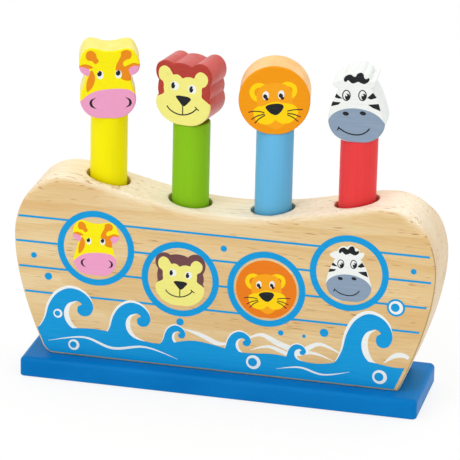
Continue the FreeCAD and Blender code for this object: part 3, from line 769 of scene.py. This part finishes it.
def porthole(animal, head_outline):
    """A ring with an animal's face in it."""
    centre = PORTHOLES[animal]
    scale = PORTHOLE_FACE_SCALE[animal]
    middle = [(min(axis) + max(axis)) / 2 for axis in zip(*head_outline)]
    place = Vector(centre) - Vector(middle) * scale
    silhouette = [point * scale + place for point in head_outline]
    ring = [Patch("blue", half) for half in band(centre, PORTHOLE_RADIUS, PORTHOLE_BAND)]
    view = [Patch(None, disc(centre, PORTHOLE_RADIUS - PORTHOLE_BAND, corners=48))]
    face = [Patch(PORTHOLE_GROUND[animal], silhouette)]
    return ring + view + face + resized(FACES[animal](), scale, place, silhouette)


# ---- laying a print on a node

def flat_coordinates(place, point):
    """A point of the frame as millimetres across and up on a front."""
    return Vector(((point - place.origin).dot(place.across), point.z - place.origin.z)) / MM


def section_outline(node, place, depth):
    """The outline of a node on a plane parallel to its front, a little behind the front."""
    solid = bmesh.new()
    solid.from_mesh(node.data)
    bmesh.ops.remove_doubles(solid, verts=solid.verts, dist=WELD_DISTANCE * MM)
    front = max((vertex.co - place.origin).dot(place.outward) for vertex in solid.verts)
    level = place.origin + place.outward * (front - depth * MM)
    cut = bmesh.ops.bisect_plane(solid, geom=solid.verts[:] + solid.edges[:] + solid.faces[:],
                                 plane_co=level, plane_no=place.outward)["geom_cut"]
    edges = {item for item in cut if isinstance(item, bmesh.types.BMEdge)}
    vertex = min((vertex for edge in edges for vertex in edge.verts), key=lambda corner: tuple(corner.co))
    loop = [flat_coordinates(place, vertex.co)]
    onward = [edge for edge in vertex.link_edges if edge in edges]
    while onward:
        edge = min(onward, key=lambda choice: choice.other_vert(vertex).co.z)
        edges.discard(edge)
        vertex = edge.other_vert(vertex)
        point = flat_coordinates(place, vertex.co)
        if min((point - loop[-1]).length, (point - loop[0]).length) > LEAST_STEP:
            loop.append(point)
        onward = [edge for edge in vertex.link_edges if edge in edges]
    solid.free()
    return counter_clockwise(loop)


def enclosed(loop, spots):
    """Which spots a loop goes round: its turns about each are counted on a ray towards +X."""
    turns = numpy.zeros(len(spots))
    across, up = spots.T
    for start, end in zip(loop, loop[1:] + loop[:1]):
        if start.y != end.y:
            passes = (start.y > up) != (end.y > up)
            meets = start.x + (up - start.y) * (end.x - start.x) / (end.y - start.y)
            turns += (passes & (meets > across)) * (1 if end.y > start.y else -1)
    return turns != 0


def chosen_inks(patches, field, covered):
    """The ink on each spot: that of the last patch over it, or None where the wood stays bare."""
    inks = numpy.full(len(covered[id(field)]), None)
    for patch in patches:
        under = covered[id(patch.outline)]
        if patch.within is not None:
            under = under & covered[id(patch.within)]
        inks[under] = patch.ink
    inks[~covered[id(field)]] = None
    return inks


def screen_print(name, node, body, place, field, patches, guides=()):
    """Prints patches on a node's front, each ink as one closed film that follows the surface.

    The field is what can be printed. The guides are outlines where the surface bends.
    """
    lines = [field, *guides]
    for patch in patches:
        lines += [patch.outline] if patch.within is None else [patch.outline, patch.within]
    loops = {id(line): [Vector(point) for point in line] for line in lines}
    corners, edges = [], []
    for loop in loops.values():
        first = len(corners)
        edges += [(first + i, first + (i + 1) % len(loop)) for i in range(len(loop))]
        corners += loop
    points, _, triangles = delaunay_2d_cdt(corners, edges, [], 0, PRINT_WELD_DISTANCE)[:3]
    middles = numpy.array([sum((points[n] for n in triangle), Vector((0, 0))) / 3 for triangle in triangles])
    covered = {key: enclosed(loop, middles) for key, loop in loops.items()}

    by_ink = collections.defaultdict(list)
    for triangle, ink in zip(triangles, chosen_inks(patches, field, covered)):
        if ink:
            by_ink[ink].append(triangle)
    surface = BVHTree.FromPolygons([vertex.co for vertex in node.data.vertices],
                                   [polygon.vertices for polygon in node.data.polygons])
    for ink, spots in by_ink.items():
        film = ink_film(f"{name}_{ink}", place, surface, points, spots)
        film.data.materials.append(ink_finish(ink))
        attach(film, body)


def ink_film(name, place, surface, points, triangles):
    """Lays the triangles of one ink on the surface and gives them thickness."""
    numbers = {number: i for i, number in enumerate(sorted({n for triangle in triangles for n in triangle}))}
    vertices = [on_surface(place, surface, points[number]) for number in numbers]
    mesh = bpy.data.meshes.new(name)
    mesh.from_pydata(vertices, [], [[numbers[n] for n in triangle] for triangle in triangles])
    film = bpy.data.objects.new(name, mesh)
    bpy.context.scene.collection.objects.link(film)
    thicken = film.modifiers.new("ink_thickness", "SOLIDIFY")
    thicken.thickness = INK_THICKNESS * MM
    thicken.offset = 1.0
    return film


def on_surface(place, surface, point):
    """The spot on a node's front that a flat point falls on, sunk so that the film has no gap under it."""
    drop = place.outward * (DROP_HEIGHT * MM)
    start = place.origin + place.across * point.x * MM + Vector((0, 0, point.y * MM)) + drop
    hit = surface.ray_cast(start, -place.outward)[0]
    if hit is None:
        hit = surface.find_nearest(start - drop)[0]
    return hit - place.outward * INK_SUNK * MM


def ink_finish(ink):
    """Each ink is mixed once."""
    name = f"screen_ink_{ink}"
    if name not in bpy.data.materials:
        screen_printed_ink(name, *INKS[ink][1:])
    return bpy.data.materials[name]


def head_place(animal):
    """Where a head's print is measured from: the peg's axis, the head's lowest point and the way it faces."""
    peg_low, peg_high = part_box(f"{animal}_peg")
    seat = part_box(f"{animal}_head")[0].z
    turn = math.radians(HEAD_TURN[animal])
    return Place(Vector(((peg_low.x + peg_high.x) / 2, 0, seat - HEAD_SEAT_DEPTH * MM)),
                 Vector((math.cos(turn), math.sin(turn), 0)),
                 Vector((math.sin(turn), -math.cos(turn), 0)))


def print_heads(nodes):
    """Prints every head, and returns their outlines for the picture on the hull."""
    outlines = {}
    for animal in ANIMALS:
        node = nodes[f"{animal}_head"]
        place = head_place(animal)
        field, *guides = [section_outline(node, place, depth) for depth in HEAD_PRINT_DEPTHS]
        outlines[animal] = field
        patches = [Patch(HEAD_GROUND[animal], field)] + FACES[animal]()
        screen_print(f"{animal}_face", node, f"{animal}_figure", place, field, patches, guides)
    return outlines


def print_hull(node, head_outlines):
    """The picture on the hull, and the thin edge of its film along the foot and the stern."""
    place = Place(Vector((0, 0, 0)), Vector((1, 0, 0)), Vector((0, -1, 0)))
    field = section_outline(node, place, HULL_PRINT_DEPTH)
    bare = inset(field, HULL_PRINT_MARGIN)
    inner = [point - Vector((STERN_STRIP if point.x > STERN_SIDE else 0.0, 0)) for point in bare]
    pictures = planking(field)
    for animal in ANIMALS:
        pictures += porthole(animal, head_outlines[animal])
    pictures += wave_band()
    clipped = [Patch(patch.ink, patch.outline, patch.within or inner) for patch in pictures]
    film_edges = [Patch("edge", edge, field) for edge in (STERN_FILM_EDGE, FOOT_FILM_EDGE)]
    patches = film_edges + [Patch(None, bare)] + clipped
    screen_print("hull_print", node, "boat", place, field, patches)


# ---- springs

def wind_spring(animal, finish):
    """A compression spring with closed ends, wound smooth in place of the frame's faceted one."""
    low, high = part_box(f"{animal}_spring")
    axis_x = (low.x + high.x) / 2
    wire = WIRE_DIAMETER / 2 * MM
    coil = (high.x - low.x) / 2 - wire
    turns = ACTIVE_TURNS + 2 * END_TURNS
    bottom, top = low.z + wire, high.z - wire
    end_rise = END_TURN_RISE * MM
    active_rise = (top - bottom - 2 * END_TURNS * end_rise) / ACTIVE_TURNS
    mesh = bmesh.new()
    rings = []
    for step in range(turns * STEPS_PER_TURN + 1):
        turn = step / STEPS_PER_TURN
        at_ends = min(turn, END_TURNS) + max(turn - END_TURNS - ACTIVE_TURNS, 0)
        height = bottom + at_ends * end_rise + (turn - at_ends) * active_rise
        angle = 2 * math.pi * turn
        ring = []
        for side in range(WIRE_SIDES):
            around = 2 * math.pi * side / WIRE_SIDES
            reach = coil + wire * math.cos(around)
            ring.append(mesh.verts.new((axis_x + reach * math.cos(angle), reach * math.sin(angle),
                                        height + wire * math.sin(around))))
        rings.append(ring)
    for ring, onward in zip(rings, rings[1:]):
        for side in range(WIRE_SIDES):
            after = (side + 1) % WIRE_SIDES
            mesh.faces.new((ring[side], ring[after], onward[after], onward[side]))
    mesh.faces.new(rings[0])
    mesh.faces.new(rings[-1])
    bmesh.ops.recalc_face_normals(mesh, faces=mesh.faces)
    for face in mesh.faces:
        face.smooth = len(face.verts) == 4
    data = bpy.data.meshes.new(f"{animal}_coil")
    mesh.to_mesh(data)
    mesh.free()
    spring = bpy.data.objects.new(f"{animal}_coil", data)
    bpy.context.scene.collection.objects.link(spring)
    data.materials.append(finish)
    return spring


def fit_springs():
    """Each spring stands in its pocket, wound smooth in place of the frame's node."""
    finish = zinc_plated_steel("zinc_plated_wire", "C6C8CC", "A3A6AC", 0.28)
    for animal in ANIMALS:
        node = f"{animal}_spring"
        spring = wind_spring(animal, finish)
        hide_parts(node)
        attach(spring, "boat")
        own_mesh(spring)


# ---- studio

def background_ray(tree):
    """1 for a ray that shows the background: from the camera, off a shiny surface or through a clear one."""
    rays = add_node(tree, "LightPath", {})
    direct = add_node(tree, "Math", {0: rays.outputs["Is Camera Ray"], 1: rays.outputs["Is Glossy Ray"]},
                      operation="MAXIMUM")
    return add_node(tree, "Math", {0: direct, 1: rays.outputs["Is Transmission Ray"]}, operation="MAXIMUM")


def set_floor():
    """Wide white paper that glows white where it is seen but still takes the toy's shadow."""
    mesh = bpy.data.meshes.new("studio_floor")
    corners = [(x * FLOOR_HALF, y * FLOOR_HALF, 0) for x, y in ((-1, -1), (1, -1), (1, 1), (-1, 1))]
    mesh.from_pydata(corners, [], [(0, 1, 2, 3)])
    floor = bpy.data.objects.new("studio_floor", mesh)
    floor.location.z = -FLOOR_GAP
    bpy.context.scene.collection.objects.link(floor)
    material, tree, shader, place = new_finish("white_paper")
    # The paper's tooth is drawn coarser than it is, so that it shows.
    tooth_place = add_node(tree, "Mapping", {"Vector": place, "Scale": features(2, 2, 2)})
    tooth = add_node(tree, "TexNoise", {"Vector": tooth_place, "Scale": 1.0})
    paper = add_node(tree, "ValToRGB", {"Fac": tooth},
                     stops=((NOISE_LOW, "FAFAFA"), (NOISE_HIGH, "F6F6F6")))
    fill_inputs(tree, shader, {"Base Color": paper, "Roughness": 0.9})
    share = add_node(tree, "Math", {0: background_ray(tree), 1: FLOOR_WHITE}, operation="MULTIPLY")
    glow = add_node(tree, "Emission", {"Color": (1, 1, 1, 1), "Strength": 1.0})
    seen_floor = add_node(tree, "MixShader", {0: share, 1: shader, 2: glow})
    fill_inputs(tree, tree.nodes["Material Output"], {"Surface": seen_floor})
    mesh.materials.append(material)


def set_world():
    """A plain white room: full white where it is seen, softer as light."""
    world = bpy.data.worlds.new("white_room")
    bpy.context.scene.world = world
    world.use_nodes = True
    tree = world.node_tree
    strength = add_node(tree, "MapRange",
                        {"Value": background_ray(tree), "To Min": WORLD_STRENGTH, "To Max": 1.0})
    fill_inputs(tree, tree.nodes["Background"], {"Color": (1, 1, 1, 1), "Strength": strength})


def set_lamp(name, place, side, power):
    """A square softbox that looks at the middle of the toy."""
    lamp = bpy.data.lights.new(name, "AREA")
    lamp.size = side
    lamp.energy = power
    holder = bpy.data.objects.new(name, lamp)
    holder.location = place
    holder.rotation_euler = (Vector(LAMPS_AIM) - Vector(place)).to_track_quat("-Z", "Y").to_euler()
    bpy.context.scene.collection.objects.link(holder)


def set_camera():
    """A long lens from a little right of the front and above it."""
    azimuth, elevation, roll = (math.radians(a) for a in (CAMERA_AZIMUTH, CAMERA_ELEVATION, CAMERA_ROLL))
    back = Vector((math.sin(azimuth) * math.cos(elevation), -math.cos(azimuth) * math.cos(elevation),
                   math.sin(elevation)))
    level = Vector((math.cos(azimuth), math.sin(azimuth), 0))
    upright = back.cross(level)
    right = math.cos(roll) * level + math.sin(roll) * upright
    up = -math.sin(roll) * level + math.cos(roll) * upright
    turned = Matrix((right, up, back)).transposed().to_4x4()
    lens = bpy.data.cameras.new("camera")
    lens.lens = CAMERA_LENS
    lens.sensor_width = CAMERA_SENSOR
    lens.clip_end = CAMERA_REACH
    camera = bpy.data.objects.new("camera", lens)
    camera.matrix_world = Matrix.Translation(Vector(CAMERA_TARGET) + back * CAMERA_DISTANCE) @ turned
    bpy.context.scene.collection.objects.link(camera)
    bpy.context.scene.camera = camera


def set_studio():
    """The floor, the room, the lamps and the camera, with colours shown as they are written."""
    set_floor()
    set_world()
    for name, (place, side, power) in SOFTBOXES.items():
        set_lamp(name, place, side, power)
    set_camera()
    bpy.context.scene.view_settings.view_transform = "Standard"


# ---- the toy

for thing in list(bpy.data.objects):
    bpy.data.objects.remove(thing)
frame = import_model()
finish_nodes(frame["nodes"])
head_outlines = print_heads(frame["nodes"])
print_hull(frame["nodes"]["hull"], head_outlines)
fit_springs()
set_studio()
